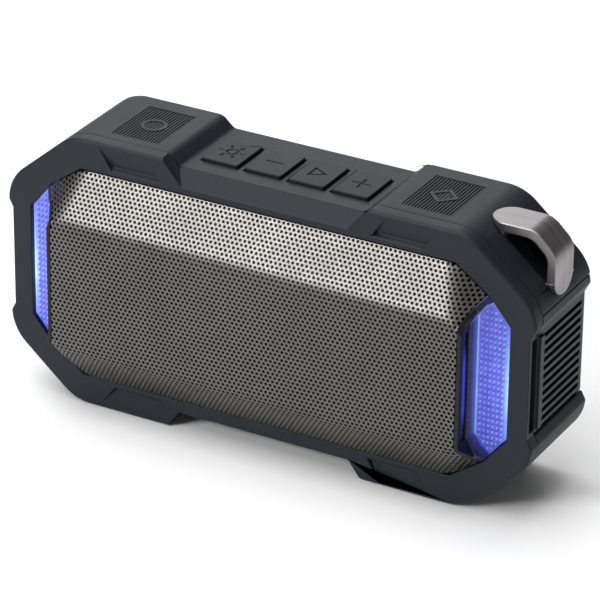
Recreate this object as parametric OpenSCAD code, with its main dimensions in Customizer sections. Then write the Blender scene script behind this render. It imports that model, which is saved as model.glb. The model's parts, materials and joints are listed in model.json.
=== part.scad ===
// Shower speaker: a rugged octagonal case with a bulging mesh front, two lit end lenses,
// four keys on the top deck, a metal strap bar and a covered socket bay at the back.
// +X runs along the case, +Y to the back, +Z up. The feet stand on z = 0.

/* [Case] */
// Length of the case from end to end
case_w = 186; // [184:1:190]
// Height over the corner bumpers
case_h = 93.4; // [93:0.2:96]
// Run of each corner chamfer along the top
chamfer_w = 23.7; // [23:0.1:24.5]
// Drop of each corner chamfer down the end
chamfer_h = 20.3; // [20:0.1:20.8]
// Radius of the rounded corners at both ends of each chamfer
corner_r = 15; // [10:0.5:16]
// Thickness of the outer covers
cover_t = 3; // [2.8:0.1:3]
// Depth of the key deck below the bumpers
deck_drop = 3.7; // [3.4:0.1:4]
// Half length of the key deck at its floor
deck_half = 32.3; // [32:0.1:34]
// Height of the belly above the ground
belly_gap = 5.9; // [5.4:0.1:6.2]
// Depth of the end panels below the bumpers
end_inset = 1.8; // [1.6:0.1:2]

/* [Depths] */
// Front of the mesh
grille_y = -24; // [-24.5:0.1:-23]
// Front face of the bezel
face_y = -14.5; // [-14.6:0.1:-14.4]
// Seam between the bezel and the covers
seam_y = -9.5; // [-9.6:0.1:-9.4]
// Back rim of the covers
rear_y = 24; // [24:0.1:25]

/* [Keys] */
// Size of each key along the deck
key_w = 12.8; // [12:0.1:13]
// Size of each key front to back
key_d = 16.4; // [15:0.1:16.6]
// Distance between key centres
key_pitch = 15.2; // [15:0.1:15.6]
// Height of the keys above the deck
key_rise = 1; // [0.8:0.1:1.2]
// Travel of each key
key_travel = 0.6; // [0.3:0.05:0.6]

/* [Drivers] */
// Distance of each driver from the middle
driver_x = 38; // [36:0.5:39]
// Radius of the driver's frame
driver_r = 24.8; // [24.6:0.1:25]
// Radius of the driver's cone
cone_r = 16.8; // [16:0.1:16.9]
// Half height of the straight part of each passive radiator
radiator_half = 8; // [6:0.5:8]

/* [Strap bar] */
// Front of the bar
bar_y = -1.7; // [-2:0.1:-1.5]
// Width of the bar
bar_w = 12.4; // [12:0.1:12.6]
// Thickness of the bar
bar_t = 3.2; // [3:0.1:3.4]
// Depth of the finger pocket under the bar
pocket_depth = 5; // [4:0.1:5]

/* [Hidden] */
$fn = 48;

half_w = case_w / 2;
half_h = case_h / 2;
mid_z = half_h;
slope = atan(chamfer_h / chamfer_w);
deck_z = half_h - deck_drop;
belly_z = belly_gap - half_h;
end_x = half_w - end_inset;
shoulder_z = 17;
ceiling_z = deck_z - cover_t;
floor_z = belly_z + cover_t;
end_top_z = 23;
chassis_t = 2.2;
chassis_x = 87.6;
back_y = 20.4;
plate_y = 23.4;
edge_cut = 0.7;
corner_steps = 8;
skin = 0.6;
gap = 0.1;

key_y = 6.1;
post_x = 32.2;
pad_x = 51;
pad_y = 6;
pad_w = 17.1;
pad_d = 23.4;
pad_drop = 0.7;
rib_count = 16;

radiator_y = 7;
radiator_r = 11.6;
radiator_travel = 1.5;
screw_x = 71;
screw_z = 34.6;

cell_r = 9.2;
cell_len = 65;
cell_y = 10.5;
cell_z = -24.5;

board_z = 0.5;
board_t = 1.6;
aux_x = -9;
aux_z = 5.1;
usb_x = 8;
usb_z = 3.9;
bay_half = 16.4;
flap_half = 16;
flap_top = 9.5;
hinge_y = 22.3;
hinge_z = -1.7;

bar_top = 46.5;
bar_side = 92.8;
bar_x0 = 68.7;
bar_z0 = 24.7;
bar_bend_x = 85.6;
bar_bend_z = 39.6;
bar_mid_y = bar_y + bar_w / 2;
bar_screw_x = 4.3;
bar_tang_x = 27.8;
pocket_x0 = 7.6;
pocket_x1 = 26;
pocket_y0 = -0.5;
pocket_y1 = 11.4;

body_grey = [0.17, 0.175, 0.19];
board_green = [0.05, 0.28, 0.16];

// ---------- outlines, drawn as x against height above the middle of the case ----------

// Octagon of half sizes w and h with corners cut by cw along the top and ch down the side.
function octagon(w, h, cw, ch) =
    [[w - cw, h], [w, h - ch], [w, ch - h], [w - cw, -h],
     [cw - w, -h], [-w, ch - h], [-w, h - ch], [cw - w, h]];

// The case's octagon moved inwards by t on every side.
function case_octagon(t) =
    octagon(half_w - t, half_h - t,
            chamfer_w - t * (1 - tan(slope / 2)),
            chamfer_h - t * (1 - tan(45 - slope / 2)));

// Right half of an outline, mirrored to make a closed one.
function mirrored(p) = concat(p, [for (i = [len(p) - 1:-1:0]) [-p[i][0], p[i][1]]]);

// The opening in the bezel, moved inwards by t.
function opening(t) =
    mirrored([[65.5 - 0.35 * t, 36.4 - t], [77 - 0.75 * t, 28.2 - 0.8 * t],
              [84.4 - t, 19.3 - 0.3 * t], [84.4 - t, -19.3 + 0.3 * t],
              [77 - 0.75 * t, -28.2 + 0.8 * t], [65.5 - 0.35 * t, -36.4 + t]]);

// The flat front of the mesh, wider than the sheet is cut.
function dome_face(t) =
    mirrored([[70.6 - 0.4 * t, 20 - 0.5 * t], [82 - t, 8], [82 - t, -12],
              [70.6 - 0.4 * t, -24 + 0.5 * t]]);

// Edge of the mesh beside a lens, moved outwards by t.
function sheet_edge(t) =
    [[76.5 + 0.7 * t, 28.6 - 0.7 * t], [73.3 + t, 24.6 - 0.4 * t], [71.4 + t, 20.5 - 0.2 * t],
     [71.4 + t, -20.5 + 0.2 * t], [73.3 + t, -24.6 + 0.4 * t], [76.5 + 0.7 * t, -28.6 + 0.7 * t]];

function lens_outline() =
    [[73, 19.6], [75.2, 23.4], [78.5, 26.1], [84.1, 19.2],
     [84.1, -19.2], [78.5, -26.1], [75.2, -23.4], [73, -19.6]];

// Points of an arc in the radius and depth plane.
function arc(r, a0, a1, steps) =
    [for (i = [0:steps]) [r * cos(a0 + (a1 - a0) * i / steps), r * sin(a0 + (a1 - a0) * i / steps)]];

module deck_cut(z) {
    polygon([[-deck_half - 4, half_h], [-deck_half, z], [deck_half, z], [deck_half + 4, half_h],
             [deck_half + 4, half_h + 1], [-deck_half - 4, half_h + 1]]);
}

module belly_cut() {
    polygon([[-34.9, -half_h], [-30.4, belly_z], [30.4, belly_z], [34.9, -half_h],
             [34.9, -half_h - 1], [-34.9, -half_h - 1]]);
}

module end_cuts() {
    for (s = [-1, 1]) scale([s, 1])
        polygon([[end_x, -shoulder_z], [end_x, shoulder_z], [half_w, shoulder_z + 3.5],
                 [half_w + 1, shoulder_z + 3.5], [half_w + 1, -shoulder_z - 3.5],
                 [half_w, -shoulder_z - 3.5]]);
}

// Points round a corner of the case from angle a0 to a1.
function corner_points(c, r, a0, a1, steps) =
    [for (i = [0:steps]) let (a = a0 + (a1 - a0) * i / steps) c + r * [cos(a), sin(a)]];

// The octagon with its corners rounded in steps, moved inwards by t; one step cuts them across.
function case_points(t, steps) =
    let (c = case_octagon(corner_r), r = corner_r - t, last = 2 * steps + 1,
         q = concat(corner_points(c[0], r, 90, 90 - slope, steps),
                    corner_points(c[1], r, 90 - slope, 0, steps)))
    concat(q, [for (i = [last:-1:0]) [q[i][0], -q[i][1]]],
           [for (p = q) -p], [for (i = [last:-1:0]) [-q[i][0], q[i][1]]]);

module case_2d() {
    difference() {
        polygon(case_points(0, corner_steps));
        deck_cut(deck_z);
        belly_cut();
        end_cuts();
    }
}

module band_2d(x0, x1, z0, z1) {
    translate([x0, z0]) square([x1 - x0, z1 - z0]);
}

module inside_2d(t) {
    intersection() {
        polygon(case_octagon(cover_t + t));
        band_2d(-chassis_x - 0.3 + t, chassis_x + 0.3 - t, floor_z + t, ceiling_z - t);
    }
}

module racetrack_2d(r) {
    square([2 * r, 2 * radiator_half], center = true);
    for (s = [-1, 1]) translate([0, s * radiator_half]) circle(r);
}

module sheet_2d() {
    polygon(concat([[78, 32], [78, 45], [-78, 45], [-78, 32]],
                   [for (p = sheet_edge(0)) [-p[0], p[1]]],
                   [[-78, -32], [-78, -45], [78, -45], [78, -32]],
                   [for (i = [5:-1:0]) sheet_edge(0)[i]]));
}

module edge_band_2d(t0, t1) {
    polygon(concat(sheet_edge(t0), [for (i = [5:-1:0]) sheet_edge(t1)[i]]));
}

// ---------- placing ----------

module along_y(y0, y1) {
    translate([0, y1, mid_z]) rotate([90, 0, 0]) linear_extrude(y1 - y0) children();
}

// A profile of depth against height, run from x0 to x1.
module along_x(x0, x1) {
    translate([x0, 0, mid_z]) rotate([90, 0, 90]) linear_extrude(x1 - x0) children();
}

module side(s) {
    if (s > 0) children();
    else mirror([1, 0, 0]) children();
}

// Local x runs down the right-hand top chamfer from its upper end and local z points out of it.
module on_chamfer() {
    translate([half_w - chamfer_w, 0, mid_z + half_h]) rotate([0, slope, 0]) children();
}

// Local z points to the front from the baffle's front face.
module at_driver(s) {
    translate([s * driver_x, -9.4, mid_z]) rotate([90, 0, 0]) children();
}

module at_key(i) {
    translate([(i - 1.5) * key_pitch, key_y, mid_z + deck_z]) children();
}

module slab(x0, x1, y0, y1, z0, z1) {
    translate([x0, y0, mid_z + z0]) cube([x1 - x0, y1 - y0, z1 - z0]);
}

module rod_y(x, z, r, y0, y1) {
    translate([x, y1, mid_z + z]) rotate([90, 0, 0]) cylinder(r = r, h = y1 - y0);
}

// ---------- front ----------

// The body of the mesh, with every face moved inwards by t.
module dome(t) {
    hull() {
        along_y(face_y + t / 2, seam_y - gap + t) polygon(opening(0.2 + t));
        along_y(grille_y + t, grille_y + t + 0.01) polygon(dome_face(t));
    }
}

// The case's outline over the depth of the bezel, with its front edge cut back.
module bezel_block() {
    hull() {
        along_y(face_y + edge_cut, seam_y) polygon(case_points(0, 1));
        along_y(face_y - 0.3, face_y - 0.29) polygon(case_points(edge_cut + 0.3, 1));
    }
    for (p = case_octagon(corner_r)) {
        rod_y(p[0], p[1], corner_r, face_y + edge_cut, seam_y);
        translate([p[0], face_y - 0.3, mid_z + p[1]]) rotate([-90, 0, 0])
            cylinder(r1 = corner_r - edge_cut - 0.3, r2 = corner_r, h = edge_cut + 0.3);
    }
}

module front_bezel() {
    color(body_grey) difference() {
        bezel_block();
        slab(-half_w - 1, half_w + 1, face_y - 1, face_y, -half_h - 1, half_h + 1);
        along_y(face_y - 1, seam_y + 1) {
            polygon(opening(0));
            belly_cut();
            end_cuts();
        }
        // sloping band in front of the key deck, with slanting ends
        hull() {
            along_y(face_y - 1, face_y) polygon([[-29, 38.6], [29, 38.6], [37.4, 48.2], [-37.4, 48.2]]);
            along_y(seam_y, seam_y + 0.01)
                polygon([[-32.5, deck_z], [32.5, deck_z], [37.9, 48.2], [-37.9, 48.2]]);
        }
        // facet sunk into each corner bumper
        for (s = [-1, 1], v = [-1, 1]) side(s) intersection() {
            along_x(34, 62) scale([1, v])
                polygon([[face_y - 1, 45.4], [face_y, 45.4], [face_y + 1.6, 39], [face_y, 38.1], [face_y - 1, 38.1]]);
            along_y(face_y - 1, seam_y) scale([1, v])
                polygon([[59.6, 45.5], [53.9, 38], [36.9, 38], [41.6, 45.5]]);
        }
        // shadow groove beside each end panel
        for (s = [-1, 1]) side(s)
            slab(end_x - 2.5, half_w + 1, face_y + 1.8, seam_y + 1, -shoulder_z + 1.3, shoulder_z - 1.3);
    }
}

module grille() {
    color([0.62, 0.6, 0.6]) intersection() {
        difference() {
            dome(0);
            dome(skin);
        }
        along_y(grille_y - 1, seam_y) sheet_2d();
    }
}

module grille_felt() {
    color([0.03, 0.03, 0.03]) intersection() {
        difference() {
            dome(skin + 0.1);
            dome(skin + 0.5);
        }
        along_y(grille_y, seam_y - gap) band_2d(-70.8, 70.8, -36, 36);
    }
}

module cheek(s) {
    color([0.1, 0.1, 0.11]) side(s) difference() {
        intersection() {
            dome(0);
            along_y(grille_y - 1, face_y - 3.6) edge_band_2d(0.1, 1.5);
        }
        slab(71, 74, face_y - 7.4, face_y - 4.2, -19.5, 17.5);
    }
}

module lens_frame(s) {
    color([0.06, 0.07, 0.18]) side(s) difference() {
        intersection() {
            dome(0);
            along_y(face_y - 3.5, seam_y - gap) edge_band_2d(0.1, 2.2);
        }
        along_y(face_y - 5, seam_y) polygon(lens_outline());
    }
}

module lens(s) {
    color([0.35, 0.4, 0.95]) side(s)
        along_y(face_y + 1, face_y + 2.8) intersection() {
            polygon(lens_outline());
            polygon(opening(0.2));
            translate([73.1, -40]) square(80);
        }
}

module light_guide(s) {
    color([0.3, 0.4, 0.95]) side(s) slab(71.5, 72.2, face_y - 7.3, face_y - 4.3, -19.4, 17.4);
}

module led_board(s) {
    color([0.85, 0.85, 0.82]) side(s) {
        slab(75, 83.4, face_y + 3.9, face_y + 4.9, -18, 18);
        for (i = [-2:2]) slab(77, 81, face_y + 3.1, face_y + 3.9, i * 7 - 1.75, i * 7 + 1.75);
    }
}

module front_gasket() {
    color([0.1, 0.1, 0.1]) along_y(seam_y, seam_y + 0.6) difference() {
        inside_2d(0.3);
        inside_2d(0.3 + chassis_t);
    }
}

// ---------- case ----------

module baffle() {
    color([0.12, 0.12, 0.13]) difference() {
        along_y(seam_y + gap, seam_y + 2.6) inside_2d(chassis_t + 0.45);
        for (s = [-1, 1]) at_driver(s) {
            translate([0, 0, -5]) cylinder(r = 22.4, h = 10);
            for (a = [45:90:315]) rotate(a) translate([23.3, 0, -5]) cylinder(r = 0.75, h = 10, $fn = 24);
        }
    }
}

module chassis() {
    color([0.14, 0.14, 0.15]) difference() {
        union() {
            along_y(seam_y + 0.6, back_y) difference() {
                inside_2d(0.3);
                inside_2d(0.3 + chassis_t);
            }
            along_y(15.2, back_y) intersection() {
                inside_2d(1);
                for (s = [-1, 1], v = [-1, 1]) translate([s * screw_x, v * screw_z]) circle(3.4);
            }
        }
        for (s = [-1, 1], v = [-1, 1]) rod_y(s * screw_x, v * screw_z, 1.1, 14, back_y + 1);
        // windows for the passive radiators, the key board and the finger pocket
        for (s = [-1, 1]) side(s) along_x(84, 89) translate([radiator_y, 0]) racetrack_2d(radiator_r);
        slab(-34.6, 34.6, -5.2, 16.4, 34, 41);
        on_chamfer() translate([pocket_x0 - 5, pocket_y0 - 2.1, -pocket_depth - 2.4])
            cube([pocket_x1 - pocket_x0 + 7.2, pocket_y1 - pocket_y0 + 4.3, 20]);
    }
}

// Sunken pad with raised ribs and a raised mark, on a corner bumper.
module pad_cut(s) {
    translate([s * pad_x - pad_w / 2, pad_y - pad_d / 2, mid_z + half_h - pad_drop]) cube([pad_w, pad_d, 5]);
}

module pad_fill(s) {
    translate([s * pad_x, pad_y, mid_z + half_h - pad_drop - 0.1]) {
        for (i = [0:rib_count - 1])
            translate([(i + 0.5 - rib_count / 2) * pad_w / rib_count - 0.33, -pad_d / 2, 0])
                cube([0.66, pad_d, pad_drop - 0.1]);
        difference() {
            rotate(s > 0 ? 45 : 0) {
                if (s > 0) translate([-3.6, -3.6, 0]) cube([7.2, 7.2, pad_drop + 0.1]);
                else cylinder(r = 4.3, h = pad_drop + 0.1);
            }
            translate([0, 0, pad_drop - 0.3]) rotate(s > 0 ? 45 : 0) {
                if (s > 0) translate([-2.4, -2.4, 0]) cube([4.8, 4.8, 5]);
                else cylinder(r = 3.1, h = 5);
            }
        }
    }
}

module top_cover() {
    color(body_grey) difference() {
        union() {
            difference() {
                along_y(seam_y + gap, rear_y) difference() {
                    intersection() {
                        case_2d();
                        band_2d(-half_w, half_w, end_top_z + 0.15, half_h);
                    }
                    inside_2d(0);
                }
                for (s = [-1, 1]) {
                    pad_cut(s);
                    // hollow under each bumper
                    slab(s * 50.5 - 12, s * 50.5 + 12, -6, 20.4, ceiling_z - 1, half_h - 2.6);
                }
            }
            for (s = [-1, 1]) intersection() {
                pad_fill(s);
                slab(-half_w, half_w, -20, 30, half_h - 2, half_h);
            }
            // walls of the finger pocket
            on_chamfer() translate([pocket_x0 - 1.6, pocket_y0 - 1.6, -pocket_depth - 1.8])
                cube([pocket_x1 - pocket_x0 + 3.2, pocket_y1 - pocket_y0 + 3.2, pocket_depth]);
            // posts for the key board
            for (s = [-1, 1], y = [-3.2, 14.4])
                translate([s * post_x, y, mid_z + 34.5]) cylinder(r = 1.9, h = ceiling_z - 34.4, $fn = 32);
        }
        for (s = [-1, 1], y = [-3.2, 14.4])
            translate([s * post_x, y, mid_z + 33]) cylinder(r = 0.8, h = 6, $fn = 24);
        on_chamfer() translate([pocket_x0, pocket_y0, -pocket_depth])
            cube([pocket_x1 - pocket_x0, pocket_y1 - pocket_y0, 20]);
        on_chamfer() translate([bar_screw_x, bar_mid_y, -8]) {
            cylinder(r = 0.9, h = 12, $fn = 24);
            cylinder(r = 1.7, h = 5, $fn = 24);
        }
        on_chamfer() translate([bar_tang_x - gap, bar_mid_y - 3 - gap, -3.7])
            cube([1.2 + 2 * gap, 6 + 2 * gap, 6]);
        for (i = [0:3]) at_key(i)
            translate([-key_w / 2 - 0.3, -key_d / 2 - 0.3, -9]) cube([key_w + 0.6, key_d + 0.6, 12]);
    }
}

module bottom_cover() {
    color(body_grey) difference() {
        along_y(seam_y + gap, rear_y) difference() {
            intersection() {
                case_2d();
                band_2d(-half_w, half_w, -half_h, -shoulder_z - 0.6);
            }
            inside_2d(0);
        }
        for (s = [-1, 1]) slab(s * 50.5 - 12, s * 50.5 + 12, -6, 20.4, -half_h + 3, floor_z + 1);
    }
}

module end_panel(s) {
    color([0.2, 0.2, 0.22]) side(s) difference() {
        union() {
            along_y(seam_y + gap, plate_y) intersection() {
                case_2d();
                band_2d(chassis_x + 0.4, half_w, -shoulder_z, end_top_z);
            }
            // raised strip beside the bezel
            slab(end_x - 1, end_x + 1, face_y + 5.6, face_y + 8.2, -shoulder_z + 1.3, shoulder_z - 1.3);
        }
        for (i = [0:11]) slab(chassis_x, half_w, face_y + 9, face_y + 36, 13.5 - 2.85 * i, 14.9 - 2.85 * i);
        slab(end_x - 1, half_w + 1, face_y + 8.2, face_y + 9, -shoulder_z + 1.3, shoulder_z - 1.3);
    }
}

module rear_cover() {
    color([0.13, 0.13, 0.14]) difference() {
        along_y(back_y + gap, plate_y) inside_2d(0.3);
        for (s = [-1, 1], v = [-1, 1]) {
            rod_y(s * screw_x, v * screw_z, 1.4, 20, 25);
            rod_y(s * screw_x, v * screw_z, 2.7, 21.9, 25);
        }
        // socket bay, its hinge seats and the two socket mouths
        slab(-bay_half, bay_half, 21.2, 25, hinge_z - 1.6, flap_top + 0.4);
        translate([-bay_half - 1, hinge_y, mid_z + hinge_z]) rotate([0, 90, 0])
            cylinder(r = 0.56, h = 2 * bay_half + 2, $fn = 32);
        rod_y(aux_x, aux_z, 3.1, 20, 25);
        slab(usb_x - 5, usb_x + 5, 20, 25, usb_z - 2.1, usb_z + 2.1);
        slab(-3, 3, 22.4, 25, flap_top, flap_top + 2);
    }
}

module port_cover() {
    color([0.09, 0.09, 0.1]) {
        slab(-flap_half, flap_half, hinge_y - 0.8, hinge_y + 0.8, hinge_z, flap_top);
        translate([-flap_half, hinge_y, mid_z + hinge_z]) rotate([0, 90, 0])
            cylinder(r = 0.8, h = 2 * flap_half);
        translate([-bay_half - 0.8, hinge_y, mid_z + hinge_z]) rotate([0, 90, 0])
            cylinder(r = 0.5, h = 2 * bay_half + 1.6, $fn = 32);
        rod_y(aux_x, aux_z, 1.9, 21, 21.6);
        slab(usb_x - 3.6, usb_x + 3.6, 21, 21.6, usb_z - 0.9, usb_z + 0.9);
    }
}

// ---------- loudspeakers ----------

module driver_frame(s) {
    color([0.25, 0.25, 0.26]) at_driver(s) difference() {
        rotate_extrude($fn = 96)
            polygon([[20.2, 1.5], [driver_r, 1.5], [driver_r, 0.1], [22, 0.1], [14.6, -10.4],
                     [8.6, -10.4], [8.6, -9.2], [13.4, -9.2], [20.2, 0.1]]);
        for (a = [45:90:315]) rotate(a) translate([23.3, 0, -2]) cylinder(r = 0.9, h = 5, $fn = 24);
        for (a = [0:90:270]) rotate(a) translate([17.6, 0, -5]) rotate([0, 60, 0])
            cylinder(r = 3.6, h = 9, center = true, $fn = 32);
    }
}

module driver_surround(s) {
    color([0.05, 0.05, 0.05]) at_driver(s) rotate_extrude($fn = 96)
        polygon(concat([[21.4, 1.6], [21.4, 2], [20.5, 2]],
                       [for (p = arc(1.6, 0, 180, 12)) [18.9 + p[0], 2 + p[1]]],
                       [for (p = arc(1.2, 180, 0, 12)) [18.9 + p[0], 1.6 + p[1]]]));
}

module driver_magnet(s) {
    color([0.3, 0.3, 0.32]) at_driver(s) rotate_extrude($fn = 96)
        polygon([[0, -19.5], [14, -19.5], [14, -10.5], [8.5, -10.5], [8.5, -16.5], [6.4, -16.5],
                 [6.4, -9.6], [0, -9.6]]);
}

module driver_cone(s) {
    color([0.08, 0.08, 0.09]) at_driver(s) rotate_extrude($fn = 96)
        polygon([[7, -5.4], [8, -5.4], [cone_r, 0.1], [cone_r, 0.8], [8, -4.7], [7, -4.7]]);
}

module voice_coil(s) {
    color([0.7, 0.4, 0.15]) at_driver(s) rotate_extrude($fn = 96)
        polygon([[7, -14.2], [7.9, -14.2], [7.9, -5.45], [7, -5.45]]);
}

module dust_cap(s) {
    color([0.12, 0.12, 0.13]) at_driver(s) rotate_extrude($fn = 96)
        polygon(concat([for (p = arc(10.4, 40, 90, 12)) [p[0], p[1] - 10.6]],
                       [for (p = arc(9.8, 90, 40, 12)) [p[0], p[1] - 10.6]]));
}

module radiator_part(s, x0, x1, r0, r1) {
    side(s) along_x(x0, x1) translate([radiator_y, 0]) difference() {
        racetrack_2d(r1);
        if (r0 > 0) racetrack_2d(r0);
    }
}

module radiator_frame(s) {
    color([0.12, 0.12, 0.13]) {
        radiator_part(s, 84.2, 87.5, 9.9, radiator_r - 0.1);
        radiator_part(s, 84.2, 85.1, 9.9, 12.8);
    }
}

module radiator_surround(s) {
    color([0.05, 0.05, 0.05]) {
        radiator_part(s, 85.3, 85.9, 7.7, 9.8);
        radiator_part(s, 85.9, 86.8, 8.2, 9.4);
    }
}

module radiator_plate(s) {
    color([0.35, 0.35, 0.37]) radiator_part(s, 85, 86.2, 0, 7.2);
}

// ---------- keys ----------

module bar_mark(w, h) {
    square([w - h, h], center = true);
    for (s = [-1, 1]) translate([s * (w - h) / 2, 0]) circle(h / 2, $fn = 24);
}

module light_mark() {
    difference() {
        circle(2.1);
        circle(1.4);
    }
    for (a = [0:60:300]) rotate(a) translate([3.75, 0]) bar_mark(1.9, 0.7);
}

module play_mark() {
    difference() {
        polygon([[-2.4, -3.2], [3.2, 0], [-2.4, 3.2]]);
        polygon([[-1.7, -2], [1.9, 0], [-1.7, 2]]);
    }
}

module plus_mark() {
    bar_mark(6.4, 0.8);
    rotate(90) bar_mark(6.4, 0.8);
}

// A key with its mark engraved, a flange that keeps it under the deck and a stem over its switch.
module key(i) {
    color([0.16, 0.165, 0.18]) at_key(i) difference() {
        union() {
            translate([-key_w / 2, -key_d / 2, -cover_t - 0.31]) cube([key_w, key_d, key_rise + cover_t + 0.31]);
            translate([-key_w / 2 - 0.7, -key_d / 2 - 0.7, -cover_t - 1.1])
                cube([key_w + 1.4, key_d + 1.4, 0.8]);
            translate([0, 0, -cover_t - 1.65]) cylinder(r = 2, h = 1);
        }
        translate([0, 0, key_rise - 0.35]) linear_extrude(2) children();
    }
}

module key_board() {
    color(board_green) difference() {
        slab(-34.2, 34.2, -4.9, 16.1, 33.2, 34.4);
        for (s = [-1, 1], y = [-3.2, 14.4])
            translate([s * post_x, y, mid_z + 30]) cylinder(r = 0.95, h = 6, $fn = 24);
    }
}

module key_switches() {
    color([0.75, 0.75, 0.72]) for (i = [0:3]) at_key(i) translate([0, 0, 34.4 - deck_z]) {
        translate([-2.6, -2.6, 0]) cube([5.2, 5.2, 2.4]);
        cylinder(r = 1.6, h = 3);
    }
}

// ---------- electronics ----------

module main_board() {
    color(board_green) difference() {
        slab(-22, 22, 2, 19.6, board_z, board_z + board_t);
        for (s = [-1, 1]) translate([s * 19.5, 14.8, mid_z]) cylinder(r = 1.1, h = 6, $fn = 24);
    }
}

module board_parts() {
    color([0.6, 0.6, 0.62]) {
        slab(-16, -3, 3, 8.6, board_z + board_t, 4.3);
        slab(2, 9, 3.4, 10.4, board_z + board_t, 3.5);
        for (x = [13, 18]) translate([x, 6, mid_z + board_z + board_t]) cylinder(r = 2, h = 5.4, $fn = 32);
        for (i = [0:4]) slab(-20 + 1.7 * i, -19 + 1.7 * i, 9.4, 11, board_z + board_t, 2.6);
    }
}

module usb_socket() {
    color([0.7, 0.7, 0.72]) difference() {
        slab(usb_x - 4.5, usb_x + 4.5, 12.6, 20.6, board_z + board_t, board_z + board_t + 3.5);
        slab(usb_x - 4.1, usb_x + 4.1, 13.6, 21, board_z + board_t + 0.4, board_z + board_t + 3.1);
    }
}

module aux_socket() {
    color([0.12, 0.12, 0.12]) difference() {
        union() {
            slab(aux_x - 3, aux_x + 3, 8.9, 20.3, board_z + board_t, board_z + board_t + 6);
            rod_y(aux_x, aux_z, 2.9, 20, 20.8);
        }
        rod_y(aux_x, aux_z, 1.78, 9.8, 21);
    }
}

module board_carrier() {
    color([0.13, 0.13, 0.14]) difference() {
        union() {
            slab(-36.8, 36.8, 11.6, 18, board_z - 1.7, board_z - gap);
            for (s = [-1, 1]) slab(s * 35.6 - 1.2, s * 35.6 + 1.2, 11.6, 18, floor_z + 2.6, board_z - 1);
        }
        for (s = [-1, 1]) translate([s * 19.5, 14.8, mid_z - 4]) cylinder(r = 0.8, h = 6, $fn = 24);
    }
}

module battery() {
    color([0.15, 0.3, 0.6]) translate([-cell_len / 2, cell_y, mid_z + cell_z]) rotate([0, 90, 0]) {
        cylinder(r = cell_r, h = cell_len - 1);
        cylinder(r = 3, h = cell_len);
    }
}

module battery_cradle() {
    color([0.13, 0.13, 0.14]) difference() {
        union() {
            slab(-33.8, 33.8, 2, 19.8, floor_z + 2.6, floor_z + 3.7);
            for (s = [-1, 1]) slab(s * 22 - 3, s * 22 + 3, 1.2, 19.8, floor_z + 3, cell_z - 5);
        }
        translate([-40, cell_y, mid_z + cell_z]) rotate([0, 90, 0]) cylinder(r = cell_r + 0.1, h = 80);
    }
}

// ---------- strap bar and screws ----------

// The bar's bend, thickened at its upper end down into the chamfer.
module bar_2d() {
    polygon([[bar_x0, bar_top], [bar_bend_x, bar_top], [bar_side, bar_bend_z], [bar_side, 20],
             [bar_side - bar_t, 20], [bar_side - bar_t, bar_bend_z - 0.41 * bar_t],
             [bar_bend_x - 0.41 * bar_t, bar_top - bar_t], [75, bar_top - bar_t], [73.6, 39], [bar_x0, 39]]);
}

// The bar's bent strip with rounded ends, its feet resting on the chamfer.
module bar_body() {
    difference() {
        intersection() {
            along_y(bar_y, bar_y + bar_w) bar_2d();
            union() {
                slab(bar_x0 + bar_w / 2, 95, bar_y, bar_y + bar_w, 30, 48);
                translate([bar_x0 + bar_w / 2, bar_mid_y, mid_z + 30]) cylinder(r = bar_w / 2, h = 20);
                slab(86, 95, bar_y, bar_y + bar_w, bar_z0 + bar_w / 2, 40);
                translate([86, bar_mid_y, mid_z + bar_z0 + bar_w / 2]) rotate([0, 90, 0])
                    cylinder(r = bar_w / 2, h = 10);
            }
        }
        along_y(bar_y - 1, bar_y + bar_w + 1) polygon(case_points(-gap, corner_steps));
    }
}

module strap_bar() {
    color([0.7, 0.68, 0.68]) difference() {
        union() {
            bar_body();
            on_chamfer() translate([bar_tang_x, bar_mid_y - 3, -3.6]) cube([1.2, 6, 4]);
        }
        on_chamfer() translate([bar_screw_x, bar_mid_y, -2]) cylinder(r = 0.72, h = 4.2, $fn = 24);
    }
}

module screw(head_r, head_h, shank_r, shank_len) {
    cylinder(r = head_r, h = head_h, $fn = 32);
    translate([0, 0, -shank_len]) cylinder(r = shank_r, h = shank_len + 0.1, $fn = 24);
}

module bar_screw() {
    color([0.55, 0.55, 0.57]) on_chamfer() translate([bar_screw_x, bar_mid_y, -3.05])
        rotate([180, 0, 0]) screw(1.5, 1.2, 0.7, 5.2);
}

module case_screws() {
    color([0.55, 0.55, 0.57]) for (s = [-1, 1], v = [-1, 1])
        translate([s * screw_x, 22, mid_z + v * screw_z]) rotate([-90, 0, 0]) screw(2.4, 1.2, 1, 6);
}

module driver_screws() {
    color([0.55, 0.55, 0.57]) for (s = [-1, 1]) at_driver(s) for (a = [45:90:315])
        rotate(a) translate([23.3, 0, 1.6]) screw(1.45, 0.9, 0.7, 3.9);
}

module board_screws() {
    color([0.55, 0.55, 0.57]) {
        for (s = [-1, 1], y = [-3.2, 14.4])
            translate([s * post_x, y, mid_z + 33.1]) rotate([180, 0, 0]) screw(1.6, 1, 0.75, 5);
        for (s = [-1, 1]) translate([s * 19.5, 14.8, mid_z + board_z + board_t + gap])
            screw(1.6, 1, 0.75, 3.2);
    }
}

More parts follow.
